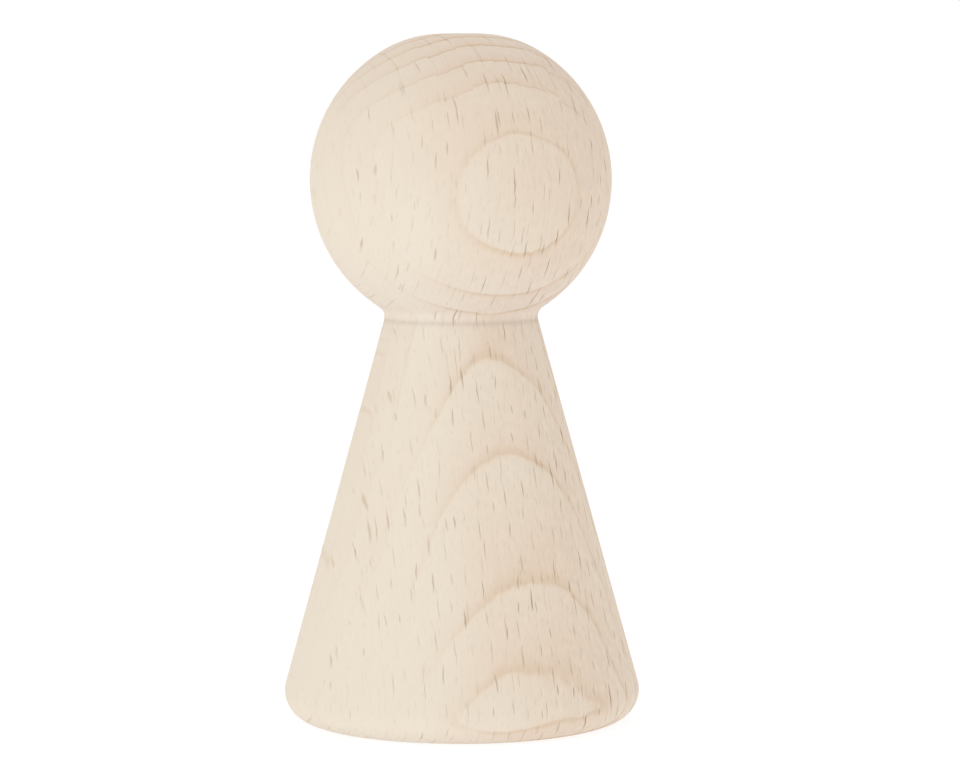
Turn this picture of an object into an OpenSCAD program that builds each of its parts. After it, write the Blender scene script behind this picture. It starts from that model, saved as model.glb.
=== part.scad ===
// A plain turned figure for craft work: a ball head that runs through a small cove
// into a straight cone with a rounded foot, all of it one piece of beech.
// Millimetres, Z up, with the origin at the centre of the flat foot.

/* [Figure] */
// Height from the flat foot to the flat of the crown
figure_h = 80; // [60:1:120]

/* [Head] */
// Diameter of the ball
head_d = 35.1; // [28:0.1:46]
// How far the crown is sanded down below the full ball
crown_drop = 0.6; // [0.4:0.1:1.5]
// Diameter of the small flat in the middle of the crown
crown_flat_d = 4.2; // [1:0.1:6]

/* [Neck] */
// Diameter at the narrowest point
neck_d = 17.9; // [10:0.1:24]
// Radius of the cove between the cone and the ball
neck_r = 1.4; // [0.5:0.1:4]

/* [Body] */
// Largest diameter, just above the foot
body_d = 41.6; // [32:0.1:60]
// Radius of the rounded edge between the foot and the flank
foot_r = 3.4; // [0.5:0.1:5]

/* [Hidden] */
$fn = 180;

// The outline is drawn in the plane of the axis, with the radius first and the height second.
// Round stretches are arcs of the circles below, and each runs into the next one without a corner.
// Circles that touch run into each other by this much, so that rounding leaves no gap between them.
touch_overlap = 0.0002;

head_r = head_d / 2;
head_c = [0, figure_h + crown_drop - head_r];

// The crown is a flatter arc that touches the ball from inside and ends level at the flat.
crown_r = head_r - crown_drop / 2 - pow(crown_flat_d / 2, 2) / (2 * crown_drop);
crown_c = [crown_flat_d / 2, figure_h - crown_r + touch_overlap];
crown_touch = from_to(head_c, crown_c, head_r);

// The cove's circle lies outside the wood and touches the ball from below.
cove_x = neck_d / 2 + neck_r;
cove_c = [cove_x, head_c.y - sqrt(pow(head_r + neck_r - touch_overlap, 2) - pow(cove_x, 2))];

// The straight flank touches the rounded foot on its outer side and the cove on its inner side.
foot_c = [body_d / 2 - foot_r, foot_r];
foot_to_cove = cove_c - foot_c;
flank_lean = atan2(foot_to_cove.y, foot_to_cove.x) - acos((foot_r + neck_r) / norm(foot_to_cove));
flank_out = [cos(flank_lean), sin(flank_lean)];
flank_low = foot_c + (foot_r - touch_overlap) * flank_out;
flank_high = cove_c - (neck_r - touch_overlap) * flank_out;

// The point at a distance from one point on the way to another
function from_to(start, end, distance) = start + (end - start) * distance / norm(end - start);

echo(lean_of_flank = flank_lean, crown_arc = crown_r, centre_of_head = head_c.y, neck_at = cove_c.y);

module turned_figure() {
    color("#e6d6c5")
        rotate_extrude()
            figure_outline();
}

// Half of the figure, cut through its axis
module figure_outline() {
    intersection() {
        union() {
            body_and_neck_outline();
            ball_outline();
            crown_outline();
        }
        square([max(body_d, head_d), figure_h]);
    }
}

// The cone with its rounded foot, up to the middle of the ball, and the cove cut from its upper corner
module body_and_neck_outline() {
    disc(foot_c, foot_r);
    difference() {
        polygon([[0, 0], [foot_c.x, 0], foot_c, flank_low, flank_high, cove_c, head_c]);
        disc(cove_c, neck_r);
    }
}

// The ball up to where the crown takes over
module ball_outline() {
    intersection() {
        disc(head_c, head_r);
        square([head_d, crown_touch.y]);
    }
}

// The soft shoulder of the crown with the flat inside it
module crown_outline() {
    disc(crown_c, crown_r);
    square([crown_flat_d / 2, figure_h]);
}

module disc(centre, radius) {
    translate(centre)
        circle(r = radius);
}

turned_figure();
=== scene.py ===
# %% [markdown]
# A turned peg doll in bare beech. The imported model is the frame: it gives the figure's
# size and its place, in metres, with the foot on the floor and the axis upright. This
# lesson builds the same turned shape as one smooth mesh, makes the beech from the way
# a tree grows, and lights it softly on a pale floor.

# %% Load the frame
import math

import bmesh
import bpy
from mathutils import Matrix, Vector


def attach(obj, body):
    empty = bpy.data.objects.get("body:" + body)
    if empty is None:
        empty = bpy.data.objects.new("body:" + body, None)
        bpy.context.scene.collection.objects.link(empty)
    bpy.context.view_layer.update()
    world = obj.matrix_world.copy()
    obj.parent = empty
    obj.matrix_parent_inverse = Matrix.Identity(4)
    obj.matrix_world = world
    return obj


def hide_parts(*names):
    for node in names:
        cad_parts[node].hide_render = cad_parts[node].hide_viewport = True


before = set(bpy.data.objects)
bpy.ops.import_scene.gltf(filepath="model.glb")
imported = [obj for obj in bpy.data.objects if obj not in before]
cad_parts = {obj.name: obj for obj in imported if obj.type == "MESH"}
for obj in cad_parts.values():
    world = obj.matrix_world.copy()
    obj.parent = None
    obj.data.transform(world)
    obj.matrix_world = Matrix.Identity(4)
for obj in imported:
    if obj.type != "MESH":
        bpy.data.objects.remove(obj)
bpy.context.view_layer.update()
scene = bpy.context.scene
MM = 0.001

# %% [markdown]
# The camera comes first, because every later choice is judged through it. The figure
# was photographed from nearly the height of its head, from about five figure heights
# away, so the foot is seen slightly from above. A long lens at that distance gives the
# same gentle perspective. It could be aimed with a Track To constraint, but the three
# turns written out below say exactly where it looks.

# %% Camera
IMAGE_SIZE = Vector((960, 774))
FOCAL_PIXELS = 3433.4
HORIZON_ROW = 113.7
AXIS_COLUMN = 460.7
CAMERA_AWAY = 400.0 * MM
CAMERA_HEIGHT = 70.7 * MM
CAMERA_ROLL = -0.0017
SENSOR_WIDTH = 36.0

camera_data = bpy.data.cameras.new("camera")
camera_data.sensor_width = SENSOR_WIDTH
camera_data.lens = FOCAL_PIXELS * SENSOR_WIDTH / IMAGE_SIZE.x
camera = bpy.data.objects.new("camera", camera_data)
scene.collection.objects.link(camera)
centre = (IMAGE_SIZE - Vector((1, 1))) / 2
turn_right = math.atan2(AXIS_COLUMN - centre.x, FOCAL_PIXELS)
tilt_down = math.atan2(centre.y - HORIZON_ROW, FOCAL_PIXELS)
camera.matrix_world = (
    Matrix.Translation((0, -CAMERA_AWAY, CAMERA_HEIGHT))
    @ Matrix.Rotation(turn_right, 4, "Z")
    @ Matrix.Rotation(math.pi / 2 - tilt_down, 4, "X")
    @ Matrix.Rotation(CAMERA_ROLL, 4, "Z")
)
scene.camera = camera
print(f"lens {camera_data.lens:.1f} mm, tilted down {math.degrees(tilt_down):.2f} degrees")

# %% [markdown]
# The figure is turned on a lathe, so its shape is one outline and a full turn. The
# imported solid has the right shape, but its triangles are loose, and each one would
# show as a small facet in soft light. The same outline is therefore drawn again here
# and spun into one smooth skin. A curve object with a Screw modifier could do this
# too, but the spin operator draws the true arcs of the outline as well as the turn.

# %% Sizes of the turned outline, in millimetres
FIGURE_HEIGHT = 80.0
HEAD_RADIUS = 17.55
CROWN_DROP = 0.6
CROWN_FLAT_RADIUS = 2.1
NECK_RADIUS = 8.95
COVE_RADIUS = 1.4
BODY_RADIUS = 20.8
FOOT_RADIUS = 3.4

head_centre = Vector((0, FIGURE_HEIGHT + CROWN_DROP - HEAD_RADIUS))
crown_radius = HEAD_RADIUS - CROWN_DROP / 2 - CROWN_FLAT_RADIUS ** 2 / (2 * CROWN_DROP)
crown_centre = Vector((CROWN_FLAT_RADIUS, FIGURE_HEIGHT - crown_radius))
cove_side = NECK_RADIUS + COVE_RADIUS
cove_drop = math.sqrt((HEAD_RADIUS + COVE_RADIUS) ** 2 - cove_side ** 2)
cove_centre = Vector((cove_side, head_centre.y - cove_drop))
foot_centre = Vector((BODY_RADIUS - FOOT_RADIUS, FOOT_RADIUS))
foot_to_cove = cove_centre - foot_centre
flank_lean = math.atan2(foot_to_cove.y, foot_to_cove.x) - math.acos(
    (FOOT_RADIUS + COVE_RADIUS) / foot_to_cove.length
)
cove_to_head = head_centre - cove_centre
cove_turn = flank_lean + math.pi - math.atan2(cove_to_head.y, cove_to_head.x)
ball_low = math.atan2(-cove_to_head.y, -cove_to_head.x)
head_to_crown = crown_centre - head_centre
ball_high = math.atan2(head_to_crown.y, head_to_crown.x)
print(f"flank leans {math.degrees(flank_lean):.2f} degrees, cove at {cove_centre.y:.2f} mm")


# %% [markdown]
# The outline is drawn as a turner's tool would travel. It starts in the middle of the
# foot and ends in the middle of the crown. Straight stretches are single vertices
# pulled outwards, and arcs are vertices spun about the centres worked out above. The
# straight stretches are cut up too, so that no face of the skin is long and thin.

# %% Outline, drawn by pulling and spinning one vertex
FOOT_CUTS = 12
FLANK_CUTS = 36
CROWN_CUTS = 3
ARC_STEP = math.radians(2.5)
LEAST_ARC_STEPS = 4


def to_space(flat):
    return Vector((flat.x, 0, flat.y)) * MM


def pull(bm, tip, end, cuts):
    """Pulls the outline's last vertex straight to a point, in equal stretches."""
    stride = (to_space(end) - tip.co) / cuts
    for _ in range(cuts):
        made = bmesh.ops.extrude_vert_indiv(bm, verts=[tip])
        tip = made["verts"][0]
        bmesh.ops.translate(bm, verts=[tip], vec=stride)
    return tip


def sweep(bm, tip, centre, angle):
    """Spins the outline's last vertex about a centre, with positive angles turning it inwards."""
    steps = max(LEAST_ARC_STEPS, round(abs(angle) / ARC_STEP))
    made = bmesh.ops.spin(
        bm, geom=[tip], cent=to_space(centre), axis=(0, -1, 0), angle=angle, steps=steps
    )
    return [item for item in made["geom_last"] if isinstance(item, bmesh.types.BMVert)][0]


bm = bmesh.new()
tip = bmesh.ops.create_vert(bm, co=(0, 0, 0))["vert"][0]
tip = pull(bm, tip, Vector((foot_centre.x, 0)), FOOT_CUTS)
tip = sweep(bm, tip, foot_centre, math.pi / 2 + flank_lean)
flank_top = cove_centre - COVE_RADIUS * Vector((math.cos(flank_lean), math.sin(flank_lean)))
tip = pull(bm, tip, flank_top, FLANK_CUTS)
tip = sweep(bm, tip, cove_centre, -cove_turn)
tip = sweep(bm, tip, head_centre, ball_high - ball_low)
tip = sweep(bm, tip, crown_centre, math.pi / 2 - ball_high)
tip = pull(bm, tip, Vector((0, FIGURE_HEIGHT)), CROWN_CUTS)
print(f"outline of {len(bm.edges)} edges, ends at {tip.co.z / MM:.3f} mm")

# %% [markdown]
# The full turn starts and ends on the same outline, so the spin merges its ends, and the
# two poles are merged after it. Only then are the normals worked out, because a spin can
# leave a shape inside out.

# %% Full turn into one closed skin
ROUND_STEPS = 256
MERGE_DISTANCE = 1e-6

bmesh.ops.spin(
    bm,
    geom=bm.verts[:] + bm.edges[:],
    cent=(0, 0, 0),
    axis=(0, 0, 1),
    angle=2 * math.pi,
    steps=ROUND_STEPS,
    use_merge=True,
)
bmesh.ops.remove_doubles(bm, verts=bm.verts[:], dist=MERGE_DISTANCE)
bmesh.ops.recalc_face_normals(bm, faces=bm.faces[:])
for face in bm.faces:
    face.smooth = True
skin = bpy.data.meshes.new("turned_beech_figure")
bm.to_mesh(skin)
open_edges = sum(1 for edge in bm.edges if not edge.is_manifold)
volume = bm.calc_volume(signed=True) / MM ** 3
bm.free()
figure = bpy.data.objects.new("turned_beech_figure", skin)
scene.collection.objects.link(figure)
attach(figure, "root")
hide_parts("turned_figure")
print(f"{len(skin.polygons)} faces, {open_edges} open edges, {volume:.0f} cubic millimetres")


# %% [markdown]
# The wood is worked out in the solid, so that every cut shows what a real cut would.
# Nodes do the sums. This small class lets them be written as ordinary Python: it holds
# one output socket, and each sign between two of them adds a Math node.

# %% Sums on sockets
class Wire:
    """One output socket of the material that is being built."""

    tree = None

    def __init__(self, socket):
        self.socket = socket

    @classmethod
    def node(cls, kind, settings=None, inputs=None, output=0):
        """Adds any node: its settings first, then the values or links of its sockets."""
        made = cls.tree.nodes.new("ShaderNode" + kind)
        for name, value in (settings or {}).items():
            setattr(made, name, value)
        for name, value in (inputs or {}).items():
            if isinstance(value, Wire):
                cls.tree.links.new(value.socket, made.inputs[name])
            else:
                made.inputs[name].default_value = value
        return cls(made.outputs[output])

    def sister(self, name):
        """Another output of the same node."""
        return Wire(self.socket.node.outputs[name])

    def math(self, operation, *others):
        return Wire.node("Math", {"operation": operation}, dict(enumerate((self, *others))))

    def vector(self, operation, other):
        return Wire.node("VectorMath", {"operation": operation}, {0: self, 1: other})

    def __add__(self, other):
        return self.math("ADD", other)

    def __sub__(self, other):
        return self.math("SUBTRACT", other)

    def __mul__(self, other):
        return self.math("MULTIPLY", other)

    def __truediv__(self, other):
        return self.math("DIVIDE", other)

    def __neg__(self):
        return self * -1.0

    def __rsub__(self, other):
        return -self + other

    __radd__ = __add__
    __rmul__ = __mul__

    def at_least(self, other):
        return self.math("MAXIMUM", other)

    def at_most(self, other):
        return self.math("MINIMUM", other)

    def size(self):
        return self.math("ABSOLUTE")

    def square(self):
        return self * self

    def bell(self):
        """1 where the value is 0, and falling to nothing on both sides."""
        return (-self.square()).math("EXPONENT")

    def ease(self, start, end, low=0.0, high=1.0):
        """Goes softly from low to high while the value goes from start to end."""
        limits = {"Value": self, "From Min": start, "From Max": end, "To Min": low, "To Max": high}
        return Wire.node("MapRange", {"interpolation_type": "SMOOTHSTEP"}, limits)


# %% [markdown]
# A few more helpers wrap the nodes that the wood needs often. Colours go through Mix
# nodes, because a Math node would turn them grey. The noise is set to swing round 0, so
# adding it to a value moves that value both ways and leaves its middle in place.

# %% Helpers for places, noise and colours
NOISE_MIDDLE = 0.5
NOISE_GAIN = 4.0


def parts_of(wire):
    """The three numbers of a place, a direction or a colour."""
    outputs = Wire.node("SeparateXYZ", None, {0: wire}).socket.node.outputs
    return [Wire(output) for output in outputs]


def join(x=0.0, y=0.0, z=0.0):
    return Wire.node("CombineXYZ", None, {"X": x, "Y": y, "Z": z})


def noise(place, scale, detail=0.0, roughness=0.5):
    """Cloudy values around 0, mostly within -1 and 1."""
    cloud = {"Vector": place, "Scale": scale, "Detail": detail, "Roughness": roughness}
    return (Wire.node("TexNoise", {"noise_dimensions": "3D"}, cloud) - NOISE_MIDDLE) * NOISE_GAIN


def tint(red, green, blue):
    return (red, green, blue, 1.0)


def blend(factor, first, second, mode="MIX"):
    """Mixes two colours, which may be wires or plain numbers."""
    values = {0: factor, 6: first, 7: second}
    return Wire.node("Mix", {"data_type": "RGBA", "blend_type": mode}, values, output=2)


def stain(colour, amount, stained):
    """Multiplies a colour by another, fully where the amount is 1 and not at all where it is 0."""
    return blend(amount, colour, stained, "MULTIPLY")


def surface(material, shader, kind="Material"):
    """Ends a material's or a world's tree in its output."""
    made = material.node_tree.nodes.new("ShaderNodeOutput" + kind)
    material.node_tree.links.new(shader.socket, made.inputs["Surface"])


# %% [markdown]
# Coordinates in the tree. The blank was split from a trunk whose heart lay behind the
# figure, a little to the left. `outward` runs from the heart to the bark, and `across`
# runs along the rings. The trunk bowed slightly, so the layers lean a little differently
# at each height, and that is what closes a ring into a bullseye on the head. The bow is
# a sum of powers of the height, each with its own size in millimetres. The surface's
# normal tells how each spot was cut: across the grain, along the rings or along the
# rays.

# %% Place in the tree
BARK_TURN = math.radians(24.24)
HEART_DEPTH = 25.0
BOW_HEIGHT = 40.0
BOW_OUTWARD = (1.33, -2.80, -1.43)
BOW_ACROSS = (-0.72, -2.24)
END_GRAIN_SHOWS = (0.3, 1.0)
CROWN_SHOWS = (0.3, 0.9)
RAY_SIDES_SHOW = (0.5, 0.1)

beech = bpy.data.materials.new("beech")
beech.use_nodes = True
Wire.tree = beech.node_tree
beech.node_tree.nodes.clear()

object_place = Wire.node("TexCoord", output=3)
millimetres = Wire.node("VectorMath", {"operation": "SCALE"}, {0: object_place, "Scale": 1 / MM})
x, y, z = parts_of(millimetres)

level = (z - BOW_HEIGHT) / BOW_HEIGHT
bow_outward = level * (BOW_OUTWARD[0] + level * (BOW_OUTWARD[1] + level * BOW_OUTWARD[2]))
bow_across = level * (BOW_ACROSS[0] + level * BOW_ACROSS[1])
outward = x * math.sin(BARK_TURN) - y * math.cos(BARK_TURN)
across = x * math.cos(BARK_TURN) + y * math.sin(BARK_TURN)
from_heart = outward + bow_outward + HEART_DEPTH
beside_heart = across + bow_across
radius = (from_heart.square() + beside_heart.square()).math("SQRT")

normal_x, normal_y, normal_z = parts_of(Wire.node("TexCoord", output=1))
end_grain = normal_z.size().ease(*END_GRAIN_SHOWS)
crown = normal_z.ease(*CROWN_SHOWS)
faces_bark = (normal_x * math.sin(BARK_TURN) - normal_y * math.cos(BARK_TURN)).size()
cut_along_rays = faces_bark.ease(*RAY_SIDES_SHOW) * (1.0 - end_grain)
print("heart line", HEART_DEPTH, "mm behind the axis")


# %% [markdown]
# Growth rings. Each summer ends in a thin tan layer: the wood darkens slowly towards it
# from the heart side, turns tan within the last quarter of a millimetre, and is pale
# again at once on its bark side. The layer looks broad where the surface runs nearly
# along it, as at the top of each arch. A wave texture would space the layers evenly,
# which no tree does, so each has its own depth, and a few long ripples and some noise
# make them wander. Each ripple has its swing in millimetres, its turning along the rings
# and along the axis, and its start, and each noise its scale and its swing. At the top
# of the third arch the layers lean a little more, which keeps the line from spreading
# out there.

# %% Growth rings
RING_DEPTHS = (17.3, 15.5, 12.73, 9.83, 6.6, 3.6, 0.8, -2.3, -5.2, -8.4, -11.3, -14.5, -17.5, -20.3)
RIPPLES = (
    (0.102, -0.1043, -0.4619, 2.877),
    (0.104, 0.2325, -0.4699, 2.446),
    (0.426, 0.2486, 0.0958, 2.011),
    (0.305, 0.0504, -0.2867, 1.048),
    (0.263, 0.3561, 0.0720, -0.158),
    (0.397, -0.0373, 0.2374, -0.368),
)
BAND_WIDTH = 0.17
BAND_BACK_SPEED = 3.5
THIRD_ARCH_ACROSS = 1.0
THIRD_ARCH_HEIGHT = 18.1
THIRD_ARCH_LEAN = 0.06
FINE_WANDER = ((0.28, 0.03), (1.1, 0.02))


def near(place_across, height, wide, tall):
    """1 at one place on the sides that face the bark and the heart, and fading round it."""
    return ((z - height) / tall).bell() * ((across - place_across) / wide).bell()


def to_next_line(depth, back_speed):
    """Distance outwards to the next ring, while the distance back to the last counts for more."""
    nearest = None
    for ring in RING_DEPTHS:
        inside = ring - depth
        reach = inside.at_least(inside * -back_speed)
        nearest = reach if nearest is None else nearest.at_most(reach)
    return nearest


depth = radius - HEART_DEPTH
for swing, along_rings, along_axis, start in RIPPLES:
    depth = depth - (across * along_rings + z * along_axis + start).math("SINE") * swing
for scale, swing in FINE_WANDER:
    depth = depth + noise(millimetres, scale, detail=1.0) * swing
near_third_arch = near(THIRD_ARCH_ACROSS, THIRD_ARCH_HEIGHT, wide=5.0, tall=3.5)
depth = depth - (z - THIRD_ARCH_HEIGHT) * near_third_arch * THIRD_ARCH_LEAN
rough_band = (to_next_line(depth, BAND_BACK_SPEED) / BAND_WIDTH).bell()
print(len(RING_DEPTHS), "rings")


# %% [markdown]
# Rays. Beech has broad rays: thin upright ribbons of soft tissue that run from the heart
# to the bark. Cut across, each shows as a short dark dash, and cut along, as a broad
# fleck, which is what the left flank shows. They stand one above the other in lanes, so
# the lanes are cells in bearing, and the rows of each lane start at a height of its own.
# A few bold rays stand apart, one to each cell of a Voronoi texture. On its way out a
# ray climbs a little, wavers, and swells where it crosses a ring, and the ring dips
# towards the heart there.

# %% Where the rays run
RAY_HEART_DEPTH = 85.0
RAY_RADIUS = 97.0
RAY_CLIMB = 0.12
CLIMB_SWING = 0.9
WAVER_SWING = 0.18
SWELL_AT_RING = 0.5
SWELL_OF_FLECK = 0.3
SWELL_ON_CROWN = 0.4
SWELL_ON_LEFT = (-14.0, 4.0, 1.2, 1.0)


def upright(share, scale, detail=0.0, roughness=0.5):
    """Noise drawn out along the height, of which only this share counts."""
    return noise(join(x, y, z * share), scale, detail, roughness)


ray_outward = outward + RAY_HEART_DEPTH
ray_swell = (rough_band * SWELL_AT_RING + 1.0) * (cut_along_rays * SWELL_OF_FLECK + 1.0)
ray_swell = ray_swell * across.ease(*SWELL_ON_LEFT) * (crown * SWELL_ON_CROWN + 1.0)
spread = (ray_outward.square() + across.square()).math("SQRT") / RAY_RADIUS
waver = upright(share=0.8, scale=0.3, detail=3.0, roughness=0.55) * WAVER_SWING
sideways = across.math("ARCTAN2", ray_outward) * RAY_RADIUS + waver
ray_height = z + outward * RAY_CLIMB + upright(share=0.3, scale=0.09) * CLIMB_SWING
print("rays meet", RAY_HEART_DEPTH, "mm behind the axis")


# %% [markdown]
# One ray's mark is an ellipse round its own centre: its size, strength and place come
# from chances that belong to its lane and row. White Noise gives such chances for whole
# numbers, and they are the same in every run.

# %% Marks of single rays
LEAST_SIZE = 0.4
MARK_EDGE = (1.2, 0.4)
LEAST_MARK = 0.15
DIP_WIDTH = 0.3
PITCH_RANGE = (0.8, 1.2)
ROW_SPREAD = 9.0
SHIFT_ASIDE = 0.45
SHIFT_ALONG = 0.25
SHIFT_SEED = 50.0


def chance(first, second, third=0.0):
    """Three even chances that belong to three whole numbers."""
    spot = join(first, second, third)
    dice = Wire.node("TexWhiteNoise", {"noise_dimensions": "3D"}, {"Vector": spot}, output=1)
    return parts_of(dice)


def pick(chance, low, high):
    """Turns an even chance into a number between two others."""
    return chance * (high - low) + low


def ribbon(aside, along, chances, thick, tall):
    """The dark mark of one ray round its own centre, and the dip of the rings there."""
    half_wide = pick(chances[0], LEAST_SIZE, 1.0) * ray_swell * thick
    half_tall = pick(chances[1], LEAST_SIZE, 1.0) * tall
    reach = ((aside / half_wide).square() + (along / half_tall).square()).math("SQRT")
    mark = reach.ease(*MARK_EDGE) * chances[2].ease(0.0, 1.0, LEAST_MARK, 1.0)
    return mark, (aside / DIP_WIDTH).bell() * (along / half_tall).bell()


def lane_rays(wide, pitch, thick, tall, seed):
    """Rays in upright lanes, one to each row of a lane."""
    place = sideways / wide + seed
    lane = place.math("FLOOR")
    start = chance(lane, seed)
    rise = ray_height / (pick(start[1], *PITCH_RANGE) * pitch) + start[0] * ROW_SPREAD
    row = rise.math("FLOOR")
    chances = chance(lane, row, seed)
    shift = chance(lane, row, seed + SHIFT_SEED)
    aside = (place - lane - 0.5 - (shift[0] - 0.5) * SHIFT_ASIDE) * spread * wide
    along = (rise - row - 0.5 - (shift[1] - 0.5) * SHIFT_ALONG) * pitch
    return ribbon(aside, along, chances, thick, tall)


def lone_rays(wide, pitch, thick, tall, seed):
    """Rays that stand anywhere, one to each cell."""
    spot = join(sideways / wide + seed, ray_height / pitch + seed)
    cells = Wire.node("TexVoronoi", {"voronoi_dimensions": "2D"}, {"Vector": spot, "Scale": 1.0})
    aside, along, _ = parts_of(spot.vector("SUBTRACT", cells.sister("Position")))
    chances = parts_of(cells.sister("Color"))
    return ribbon(aside * spread * wide, along * pitch, chances, thick, tall)


# %% [markdown]
# Three sizes of ray lie over each other. They are strongest on the right, and paler on
# the left flank, on the head and on the crown. A ray also fades and comes back along the
# radius, so the flecks on the flank aren't the same on both sides of its middle. Each
# row of four numbers says where a change starts and ends, and the two strengths there.

# %% Three sizes of ray
LANE_WIDTH = 1.75
LANE_SEED = 11.0
BOLD_STRENGTH = 0.92
PLAIN_STRENGTH = 0.85
SMALL_STRENGTH = 0.35
SMALL_LOSS_ON_CROWN = 0.2
LOSS_ON_CROWN = 0.25
LEAST_STRENGTH = 0.08
FADE_OF_DASHES = 0.3
FADE_OF_FLECKS = 0.6
FADES_PER_MM = (0.14, 0.8, 0.5)
STRONGER_TO_THE_RIGHT = (-14.0, 11.0, 0.46, 1.2)
PALER_ON_HEAD = (46.0, 56.0, 1.0, 0.86)
LOSS_OF_FLECKS = (48.0, 56.0, 0.45, 0.75)

bold_rays, bold_dips = lone_rays(wide=3.1, pitch=6.0, thick=0.125, tall=1.7, seed=3.7)
plain_rays, plain_dips = lane_rays(LANE_WIDTH, pitch=3.1, thick=0.095, tall=1.4, seed=LANE_SEED)
small_rays, _ = lane_rays(wide=0.7, pitch=1.4, thick=0.055, tall=0.6, seed=27.0)
small_strength = SMALL_STRENGTH - crown * SMALL_LOSS_ON_CROWN
ray_marks = (bold_rays * BOLD_STRENGTH).at_least(plain_rays * PLAIN_STRENGTH)
ray_marks = ray_marks.at_least(small_rays * small_strength)

along_ray = [outward, sideways, ray_height]
fade_place = [way * pace for way, pace in zip(along_ray, FADES_PER_MM)]
fade = noise(join(*fade_place), scale=1.0)
ray_strength = across.ease(*STRONGER_TO_THE_RIGHT)
ray_strength = ray_strength + fade * (cut_along_rays * FADE_OF_FLECKS + FADE_OF_DASHES)
ray_strength = ray_strength.at_least(LEAST_STRENGTH) * z.ease(*PALER_ON_HEAD)
fleck_loss = cut_along_rays * z.ease(*LOSS_OF_FLECKS)
ray_marks = ray_marks * ray_strength * (1.0 - fleck_loss) * (1.0 - crown * LOSS_ON_CROWN)
print(len(beech.node_tree.nodes), "nodes for the rays and what lies under them")

# %% [markdown]
# The rings again, now bent by the rays. Over the crown the wood is cut across, and there
# each lane of wood between two rays has its rings at a slightly different depth, which
# breaks the lines into the small steps seen in the photograph. The band is measured on
# this bent depth. It is drawn narrower on end grain and on the head, and uneven along its
# length. The slow darkening of the season before it is measured the same way.

# %% Rings bent by the rays
RING_DIP = 0.035
PLAIN_DIP = 0.6
STEP_SEED = 90.0
STEPS_ON_CROWN = (68.0, 76.0, 0.04, 0.6)
STEPS_ON_BODY = (50.0, 42.0, 0.0, 0.04)
BAND_UNEVENNESS = 0.35
NARROWER_ON_END_GRAIN = 0.55
NARROWER_ON_HEAD = (50.0, 58.0, 1.0, 1.5)
SEASON_WIDTH = 1.1
SEASON_BACK_SPEED = 14.0

lane_between = (sideways / LANE_WIDTH + (LANE_SEED - 0.5)).math("FLOOR")
lane_step = chance(lane_between, STEP_SEED)[0] - 0.5
wavy_depth = depth + bold_dips * RING_DIP + plain_dips * (RING_DIP * PLAIN_DIP)
wavy_depth = wavy_depth + lane_step * (z.ease(*STEPS_ON_CROWN) + z.ease(*STEPS_ON_BODY))
narrowing = noise(millimetres, scale=0.3, detail=1.0) * BAND_UNEVENNESS + 1.0
narrowing = narrowing * (1.0 - end_grain * NARROWER_ON_END_GRAIN) * z.ease(*NARROWER_ON_HEAD)
band = (to_next_line(wavy_depth, BAND_BACK_SPEED) * narrowing / BAND_WIDTH).bell()
season = (to_next_line(wavy_depth, SEASON_BACK_SPEED) / -SEASON_WIDTH).math("EXPONENT")
print(len(beech.node_tree.nodes), "nodes with the bent rings")

# %% [markdown]
# How strongly each ring line shows. It nearly disappears on the left flank, where the
# cut runs across the layers, and it is strong over the crown and under the foot. The
# right leg of the lowest arch is paler than the rest. Where a ray crosses the line, the
# line is darker.

# %% Strength of the ring lines
LINES_ON_SIDES = (-12.0, 0.0, 0.03, 0.47)
LINES_ON_HEAD = (46.0, 58.0, 1.0, 0.85)
LINES_ON_CROWN = (-14.0, 3.0, 0.4, 0.62)
LINES_ON_END_GRAIN = (-11.0, 0.0, 0.1, 0.9)
LOW_LEG_ACROSS = 5.6
LOW_LEG_HEIGHT = 8.1
LOW_LEG_LOSS = 0.5
PLAIN_CROSSING = 0.7
CROWN_SEASON = 0.3
EVEN_SHARE = 0.9
UNEVEN_SHARE = 0.3
CROSSING_SHARE = 0.4

near_low_leg = near(LOW_LEG_ACROSS, LOW_LEG_HEIGHT, wide=4.0, tall=3.5)
crossing = bold_dips.at_least(plain_dips * PLAIN_CROSSING)
band_strength = across.ease(*LINES_ON_SIDES) * (1.0 - near_low_leg * LOW_LEG_LOSS)
band_strength = band_strength * z.ease(*LINES_ON_HEAD)
band_strength = band_strength.at_least(crown * across.ease(*LINES_ON_CROWN))
band_strength = band_strength.at_least(end_grain * across.ease(*LINES_ON_END_GRAIN))
uneven = noise(millimetres, scale=0.12, detail=1.0) * UNEVEN_SHARE
uneven = uneven + crossing * CROSSING_SHARE + EVEN_SHARE
latewood = band * band_strength * uneven + season.square() * crown * CROWN_SEASON
print(len(beech.node_tree.nodes), "nodes with the ring lines")

# %% [markdown]
# Fibres and pores. Between the rays the wood is full of fine upright fibres, which show
# as faint streaks on the sides and as fine dots on end grain. Stretching a noise along
# the height does both at once. They show more on the right, where the light grazes them.

# %% Fibres, pores and mottle
FIBRE_SHARE = 0.01
PORE_SHARE = 0.01
MOTTLE_SHARE = 0.02
CLEARER_TO_THE_RIGHT = (-12.0, 12.0, 0.5, 2.1)

fibres = upright(share=0.12, scale=3.2, detail=2.0)
pores = upright(share=0.3, scale=7.5, detail=1.0)
mottle = upright(share=0.55, scale=1.4, detail=2.0)
grain = fibres * FIBRE_SHARE + pores * PORE_SHARE + mottle * MOTTLE_SHARE
grain = grain * across.ease(*CLEARER_TO_THE_RIGHT) + 1.0
print(len(beech.node_tree.nodes), "nodes with the grain")
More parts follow.
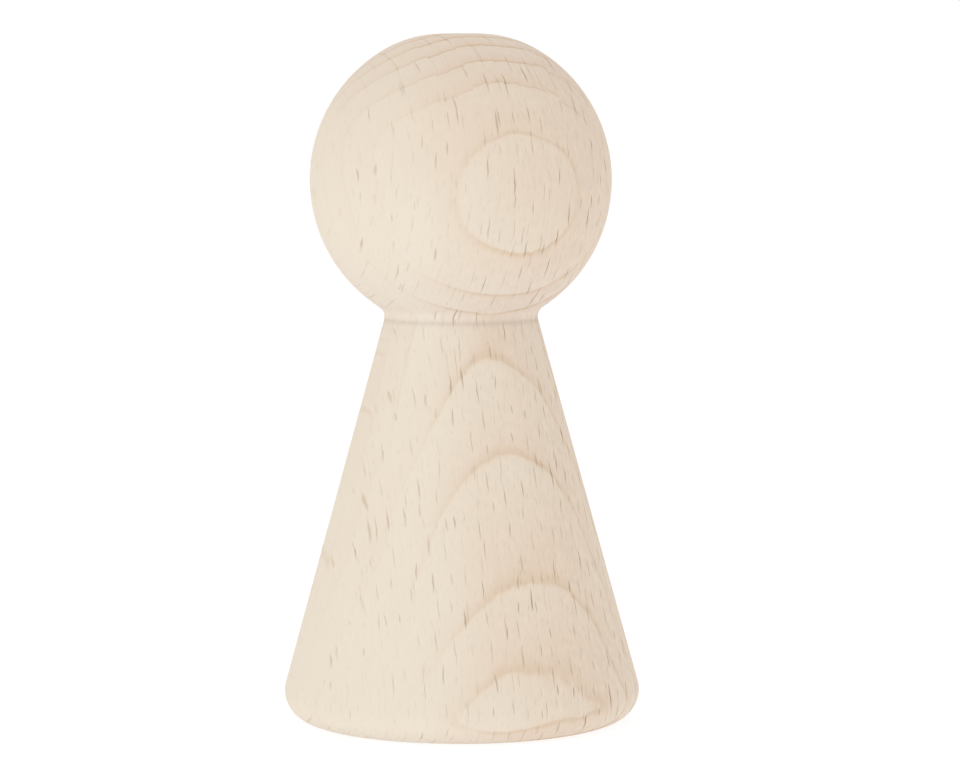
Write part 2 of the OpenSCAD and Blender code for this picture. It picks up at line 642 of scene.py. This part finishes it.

# %% [markdown]
# Colours. The wood drifts slowly between cream and pink: it is pinker on the left of the
# crown and before each ring. It is also pinker and darker on the right and up the right of
# the head, partly the wood's tone and partly painted shade on the side away from the lamp,
# and paler down the foot on the right, partly painted light from the floor. Rings, rays
# and end grain each multiply that ground colour by a tint of their own, and the end grain
# tint is also painted shade over the crown. The recess of the neck gets a painted cool
# light, paler and bluer, and a thin line along the bottom of the cove is painted darker as
# shade in its crease.

# %% Colours of the wood, with painted light and shade
WOOD_PALE = tint(0.826, 0.736, 0.606)
WOOD_PINK = tint(0.797, 0.656, 0.523)
RING_TAN = tint(0.855, 0.765, 0.625)
RAY_TAN = tint(0.515, 0.435, 0.315)
FLECK_TAN = tint(0.66, 0.53, 0.36)
END_GRAIN_TAN_AND_SHADE = tint(0.938, 0.93, 0.945)
NECK_COOL_LIGHT = tint(1.02, 1.035, 1.065)
COVE_CREASE_SHADE = tint(0.90, 0.89, 0.895)
COVE_BOTTOM = 46.85
NECK_REACH = 5.0
COVE_SHADE_WIDTH = 0.28

LEAST_PINK = -0.05
DRIFT_OF_PINK = 0.16
PINK_OF_FLECKS = 0.2
PINKER_AND_SHADED_TO_THE_RIGHT = (-18.0, 16.0, 0.0, 0.82)
PINKER_UP_THE_CROWN = (60.0, 76.0, 0.0, 0.4)
LEFT_OF_CROWN = (4.0, -8.0)
PINKER_AND_SHADED_UP_THE_HEAD = (52.0, 58.0, 0.0, 0.35)
PALER_AND_LIT_DOWN_THE_FOOT = (10.0, 1.0, 0.0, 0.45)
RIGHT_HALF = (0.0, 12.0)
PINKER_BEFORE_RING = (-13.0, 0.0, 0.15, 0.7)
FLECK_COLOUR_ON_LEFT = (2.0, -12.0, 0.0, 0.3)
NECK_LIGHT_ON_LEFT = (9.0, -5.0, 0.4, 1.0)

drift = upright(share=0.4, scale=0.15, detail=1.0)
# Pinker to the right and up the right of the head is partly the wood's tone and partly painted
# shade away from the lamp; paler down the foot on the right is partly painted light from the floor.
pink_and_painted_light = across.ease(*PINKER_AND_SHADED_TO_THE_RIGHT) + drift * DRIFT_OF_PINK
pink_and_painted_light = pink_and_painted_light + cut_along_rays * PINK_OF_FLECKS + LEAST_PINK
pink_and_painted_light = pink_and_painted_light + z.ease(*PINKER_UP_THE_CROWN) * across.ease(*LEFT_OF_CROWN)
right_half = across.ease(*RIGHT_HALF)
pink_and_painted_light = pink_and_painted_light + (z.ease(*PINKER_AND_SHADED_UP_THE_HEAD) - z.ease(*PALER_AND_LIT_DOWN_THE_FOOT)) * right_half
pink_and_painted_light = pink_and_painted_light + season * across.ease(*PINKER_BEFORE_RING)
fleck_colour = cut_along_rays.at_least(across.ease(*FLECK_COLOUR_ON_LEFT))
# Painted cool light in the recess of the neck: a paler, bluer tint, strongest on the left.
neck = ((z - COVE_BOTTOM) / NECK_REACH).bell() * across.ease(*NECK_LIGHT_ON_LEFT)
# Painted shade: a thin darker line along the crease at the bottom of the cove.
cove_crease_shade = ((z - COVE_BOTTOM) / COVE_SHADE_WIDTH).bell()

wood = blend(pink_and_painted_light, WOOD_PALE, WOOD_PINK)
wood = stain(wood, latewood, RING_TAN)
wood = stain(wood, ray_marks, blend(fleck_colour, RAY_TAN, FLECK_TAN))
# The end grain tint is partly the wood's own darker end grain and partly painted shade over the
# crown.
wood = stain(wood, end_grain, END_GRAIN_TAN_AND_SHADE)
wood = stain(wood, neck, NECK_COOL_LIGHT)
wood = stain(wood, cove_crease_shade, COVE_CREASE_SHADE)
wood = stain(wood, 1.0, join(grain, grain, grain))
print("wood from", WOOD_PALE[:3], "to", WOOD_PINK[:3])

# %% [markdown]
# The finish is sanded wood without lacquer, so it is rough all over and only a little
# less so on the dense rays. The fibres and rays are felt more than seen: they rise and
# sink by a few thousandths of a millimetre, which a Bump node can show without geometry.

# %% Finish of the turned and sanded surface
FIBRE_RELIEF = 0.35
PORE_RELIEF = 0.3
RAY_RELIEF = 0.8
BUMP_STRENGTH = 0.12
BUMP_DISTANCE = 0.04 * MM
SANDED_ROUGHNESS = 0.62
RAY_SMOOTHNESS = 0.06
END_ROUGHNESS = 0.08

relief = fibres * FIBRE_RELIEF - ray_marks * RAY_RELIEF + pores * PORE_RELIEF
felt = {"Strength": BUMP_STRENGTH, "Distance": BUMP_DISTANCE, "Height": relief}
roughness = SANDED_ROUGHNESS - ray_marks * RAY_SMOOTHNESS + end_grain * END_ROUGHNESS
sanded = {
    "Base Color": wood,
    "Roughness": roughness,
    "Normal": Wire.node("Bump", None, felt),
    "IOR": 1.45,
    "Specular IOR Level": 0.3,
}
surface(beech, Wire.node("BsdfPrincipled", None, sanded))
figure.data.materials.append(beech)
print(len(beech.node_tree.nodes), "nodes in the beech")

# %% [markdown]
# The floor is plain and pale, and only its contact shadow shows. For the camera it is
# lifted to white. For the figure it throws back real light and also glows a little by
# itself, a faint cool light that lights the figure from below. It lies a fiftieth of a
# millimetre under the foot, because the foot is flat, and two faces in one plane would
# show through each other as stripes.

# %% Floor
FLOOR_SIZE = 6.0
FLOOR_GAP = 0.02 * MM
PLAIN = tint(1.0, 1.0, 1.0)
COOL_GLOW = tint(0.972, 0.99, 1.03)

bm = bmesh.new()
under_foot = Matrix.Translation((0, 0, -FLOOR_GAP))
bmesh.ops.create_grid(bm, x_segments=1, y_segments=1, size=FLOOR_SIZE / 2, matrix=under_foot)
floor_mesh = bpy.data.meshes.new("floor")
bm.to_mesh(floor_mesh)
bm.free()
floor = bpy.data.objects.new("floor", floor_mesh)
scene.collection.objects.link(floor)

floor_paint = bpy.data.materials.new("floor")
floor_paint.use_nodes = True
Wire.tree = floor_paint.node_tree
floor_paint.node_tree.nodes.clear()


def seen_directly():
    """1 for what the camera sees, straight or in gloss or through glass, and 0 for other light."""
    camera_ray = Wire.node("LightPath")
    gloss = camera_ray.sister("Is Glossy Ray")
    glass = camera_ray.sister("Is Transmission Ray")
    return camera_ray.at_least(gloss).at_least(glass)


def lit_table(paint, glow, colour):
    """A matt sheet that is lit from above and also glows by itself."""
    matt = Wire.node("BsdfDiffuse", None, {"Color": tint(paint, paint, paint)})
    glowing = Wire.node("Emission", None, {"Color": colour, "Strength": glow})
    return Wire.node("AddShader", None, {0: matt, 1: glowing})


# The floor's own cool glow lights the figure from below.
lighting_table = lit_table(paint=0.53, glow=0.63, colour=COOL_GLOW)
white_table = lit_table(paint=0.25, glow=0.82, colour=PLAIN)
table_mix = {0: seen_directly(), 1: lighting_table, 2: white_table}
surface(floor_paint, Wire.node("MixShader", None, table_mix))
floor_mesh.materials.append(floor_paint)
print("floor", FLOOR_SIZE, "m across")

# %% [markdown]
# The surroundings are a white studio: brighter overhead than at the sides, which shades
# the ball from its crown down to its neck. What the camera sees of them is plain white.
# An image of a real studio would light it too, but it would need a file.

# %% Surroundings
SIDE_LEVEL = 0.597
TOP_LEVEL = 1.04
RISE_START = 0.1

world = bpy.data.worlds.new("studio")
scene.world = world
world.use_nodes = True
Wire.tree = world.node_tree
world.node_tree.nodes.clear()
upwards = parts_of(Wire.node("TexCoord", output=0))[2]
lit = upwards.ease(RISE_START, 1.0, SIDE_LEVEL, TOP_LEVEL)
strength = lit + seen_directly() * (1.0 - lit)
surface(world, Wire.node("Background", None, {"Color": PLAIN, "Strength": strength}), "World")
print("surroundings from", SIDE_LEVEL, "at the sides to", TOP_LEVEL, "overhead")

# %% [markdown]
# One large soft lamp stands in front and to the left, and the pale surroundings fill the
# rest, so the right side falls off only slightly.

# %% Key lamp
LAMP_PLACE = Vector((-0.75, -1.05, 0.75))
LAMP_AIM = Vector((0, 0, 0.04))
LAMP_SIZE = 0.9
LAMP_WATTS = 2.8

lamp_data = bpy.data.lights.new("key_lamp", "AREA")
lamp_data.shape = "SQUARE"
lamp_data.size = LAMP_SIZE
lamp_data.energy = LAMP_WATTS
lamp = bpy.data.objects.new("key_lamp", lamp_data)
scene.collection.objects.link(lamp)
aimed = (LAMP_AIM - LAMP_PLACE).to_track_quat("-Z", "Y").to_matrix().to_4x4()
lamp.matrix_world = Matrix.Translation(LAMP_PLACE) @ aimed
print("key lamp", LAMP_WATTS, "W")

# %% [markdown]
# The colours were chosen by comparing renders with the photograph, number by number, so
# the picture is shown with the Standard view. A filmic view would turn the white floor
# grey and wash out the pinks of the wood.

# %% View
scene.view_settings.view_transform = "Standard"
print("view:", scene.view_settings.view_transform)
